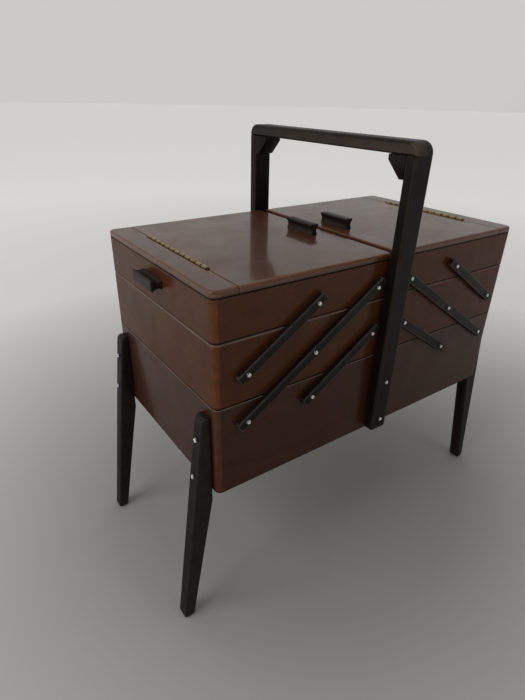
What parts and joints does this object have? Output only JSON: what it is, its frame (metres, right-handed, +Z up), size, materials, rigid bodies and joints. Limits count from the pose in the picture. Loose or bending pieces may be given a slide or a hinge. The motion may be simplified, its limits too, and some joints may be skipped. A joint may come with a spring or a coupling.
{
  "type": "cantilever sewing box",
  "caption": "Three-tier cantilever sewing box: lidded trays on swinging side arms over a deep base box, with splayed legs and a fixed carrying handle.",
  "frame": {"origin": "centre of the footprint, on the surface that the feet stand on", "axes": "+X along the box's length to the right, +Y from the front face to the rear face, +Z up"},
  "size_m": [0.541, 0.285, 0.5215],
  "materials": {
    "walnut_lacquer": "satin mahogany-brown lacquer over veneered board",
    "tray_bottom_board": "thin plywood, lightly varnished",
    "espresso_lacquer": "satin near-black brown lacquer on solid wood",
    "brass": "polished, slightly dulled",
    "nickel": "bright nickel plate"
  },
  "bodies": {
    "base": {"base_carcass": "walnut_lacquer", "base_bottom": "tray_bottom_board", "front_left_leg": "espresso_lacquer", "front_right_leg": "espresso_lacquer", "rear_left_leg": "espresso_lacquer", "rear_right_leg": "espresso_lacquer", "front_handle_post": "espresso_lacquer", "rear_handle_post": "espresso_lacquer", "handle_grip": "espresso_lacquer", "front_corner_block": "espresso_lacquer", "rear_corner_block": "espresso_lacquer", "left_front_base_bolt": "nickel", "left_rear_base_bolt": "nickel", "right_front_base_bolt": "nickel", "right_rear_base_bolt": "nickel"},
    "left_long_arm_pair": {"left_front_long_arm": "espresso_lacquer", "left_rear_long_arm": "espresso_lacquer"},
    "left_lower_arm_pair": {"left_front_lower_arm": "espresso_lacquer", "left_rear_lower_arm": "espresso_lacquer"},
    "left_upper_arm_pair": {"left_front_upper_arm": "espresso_lacquer", "left_rear_upper_arm": "espresso_lacquer"},
    "left_middle_drawer": {"left_middle_tray": "walnut_lacquer", "left_middle_bottom": "tray_bottom_board", "left_front_middle_bolt": "nickel", "left_rear_middle_bolt": "nickel"},
    "left_top_drawer": {"left_top_tray": "walnut_lacquer", "left_top_bottom": "tray_bottom_board", "left_hinge_rail": "walnut_lacquer", "left_hinge_leaf_rail": "brass", "left_hinge_pin": "brass", "left_end_pull": "espresso_lacquer", "left_front_top_bolt": "nickel", "left_rear_top_bolt": "nickel"},
    "left_lid_assembly": {"left_lid": "walnut_lacquer", "left_lid_pull": "espresso_lacquer", "left_hinge_leaf_lid": "brass"},
    "right_long_arm_pair": {"right_front_long_arm": "espresso_lacquer", "right_rear_long_arm": "espresso_lacquer"},
    "right_lower_arm_pair": {"right_front_lower_arm": "espresso_lacquer", "right_rear_lower_arm": "espresso_lacquer"},
    "right_upper_arm_pair": {"right_front_upper_arm": "espresso_lacquer", "right_rear_upper_arm": "espresso_lacquer"},
    "right_middle_drawer": {"right_middle_tray": "walnut_lacquer", "right_middle_bottom": "tray_bottom_board", "right_front_middle_bolt": "nickel", "right_rear_middle_bolt": "nickel"},
    "right_top_drawer": {"right_top_tray": "walnut_lacquer", "right_top_bottom": "tray_bottom_board", "right_hinge_rail": "walnut_lacquer", "right_hinge_leaf_rail": "brass", "right_hinge_pin": "brass", "right_end_pull": "espresso_lacquer", "right_front_top_bolt": "nickel", "right_rear_top_bolt": "nickel"},
    "right_lid_assembly": {"right_lid": "walnut_lacquer", "right_lid_pull": "espresso_lacquer", "right_hinge_leaf_lid": "brass"}
  },
  "joints": [
    {"name": "left_arms_swing", "type": "hinge", "parent": "base", "child": "left_long_arm_pair", "pos_m": [-0.193, 0, 0.2678], "axis": [0, -1, 0], "range_deg": [0, 113.42]},
    {"name": "left_middle_tray_level", "type": "hinge", "parent": "left_long_arm_pair", "child": "left_middle_drawer", "pos_m": [-0.11, 0, 0.3223], "axis": [0, -1, 0], "range_deg": [-113.42, 0]},
    {"name": "left_top_tray_level", "type": "hinge", "parent": "left_long_arm_pair", "child": "left_top_drawer", "pos_m": [-0.027, 0, 0.3768], "axis": [0, -1, 0], "range_deg": [-113.42, 0]},
    {"name": "left_lower_arms_swing", "type": "hinge", "parent": "base", "child": "left_lower_arm_pair", "pos_m": [-0.11, 0, 0.2678], "axis": [0, -1, 0], "range_deg": [0, 113.42]},
    {"name": "left_upper_arms_swing", "type": "hinge", "parent": "left_middle_drawer", "child": "left_upper_arm_pair", "pos_m": [-0.193, 0, 0.3223], "axis": [0, -1, 0], "range_deg": [0, 113.42]},
    {"name": "left_lid_hinge", "type": "hinge", "parent": "left_top_drawer", "child": "left_lid_assembly", "pos_m": [-0.199, 0, 0.4099], "axis": [0, -1, 0], "range_deg": [0, 175]},
    {"name": "right_arms_swing", "type": "hinge", "parent": "base", "child": "right_long_arm_pair", "pos_m": [0.193, 0, 0.2678], "axis": [0, 1, 0], "range_deg": [0, 113.42]},
    {"name": "right_middle_tray_level", "type": "hinge", "parent": "right_long_arm_pair", "child": "right_middle_drawer", "pos_m": [0.11, 0, 0.3223], "axis": [0, 1, 0], "range_deg": [-113.42, 0]},
    {"name": "right_top_tray_level", "type": "hinge", "parent": "right_long_arm_pair", "child": "right_top_drawer", "pos_m": [0.027, 0, 0.3768], "axis": [0, 1, 0], "range_deg": [-113.42, 0]},
    {"name": "right_lower_arms_swing", "type": "hinge", "parent": "base", "child": "right_lower_arm_pair", "pos_m": [0.11, 0, 0.2678], "axis": [0, 1, 0], "range_deg": [0, 113.42]},
    {"name": "right_upper_arms_swing", "type": "hinge", "parent": "right_middle_drawer", "child": "right_upper_arm_pair", "pos_m": [0.193, 0, 0.3223], "axis": [0, 1, 0], "range_deg": [0, 113.42]},
    {"name": "right_lid_hinge", "type": "hinge", "parent": "right_top_drawer", "child": "right_lid_assembly", "pos_m": [0.199, 0, 0.4099], "axis": [0, 1, 0], "range_deg": [0, 175]}
  ],
  "couplings": [
    {"joint": "left_middle_tray_level", "follows": "left_arms_swing", "ratio": -1},
    {"joint": "left_top_tray_level", "follows": "left_arms_swing", "ratio": -1},
    {"joint": "left_lower_arms_swing", "follows": "left_arms_swing", "ratio": 1},
    {"joint": "left_upper_arms_swing", "follows": "left_arms_swing", "ratio": 1},
    {"joint": "right_middle_tray_level", "follows": "right_arms_swing", "ratio": -1},
    {"joint": "right_top_tray_level", "follows": "right_arms_swing", "ratio": -1},
    {"joint": "right_lower_arms_swing", "follows": "right_arms_swing", "ratio": 1},
    {"joint": "right_upper_arms_swing", "follows": "right_arms_swing", "ratio": 1}
  ]
}
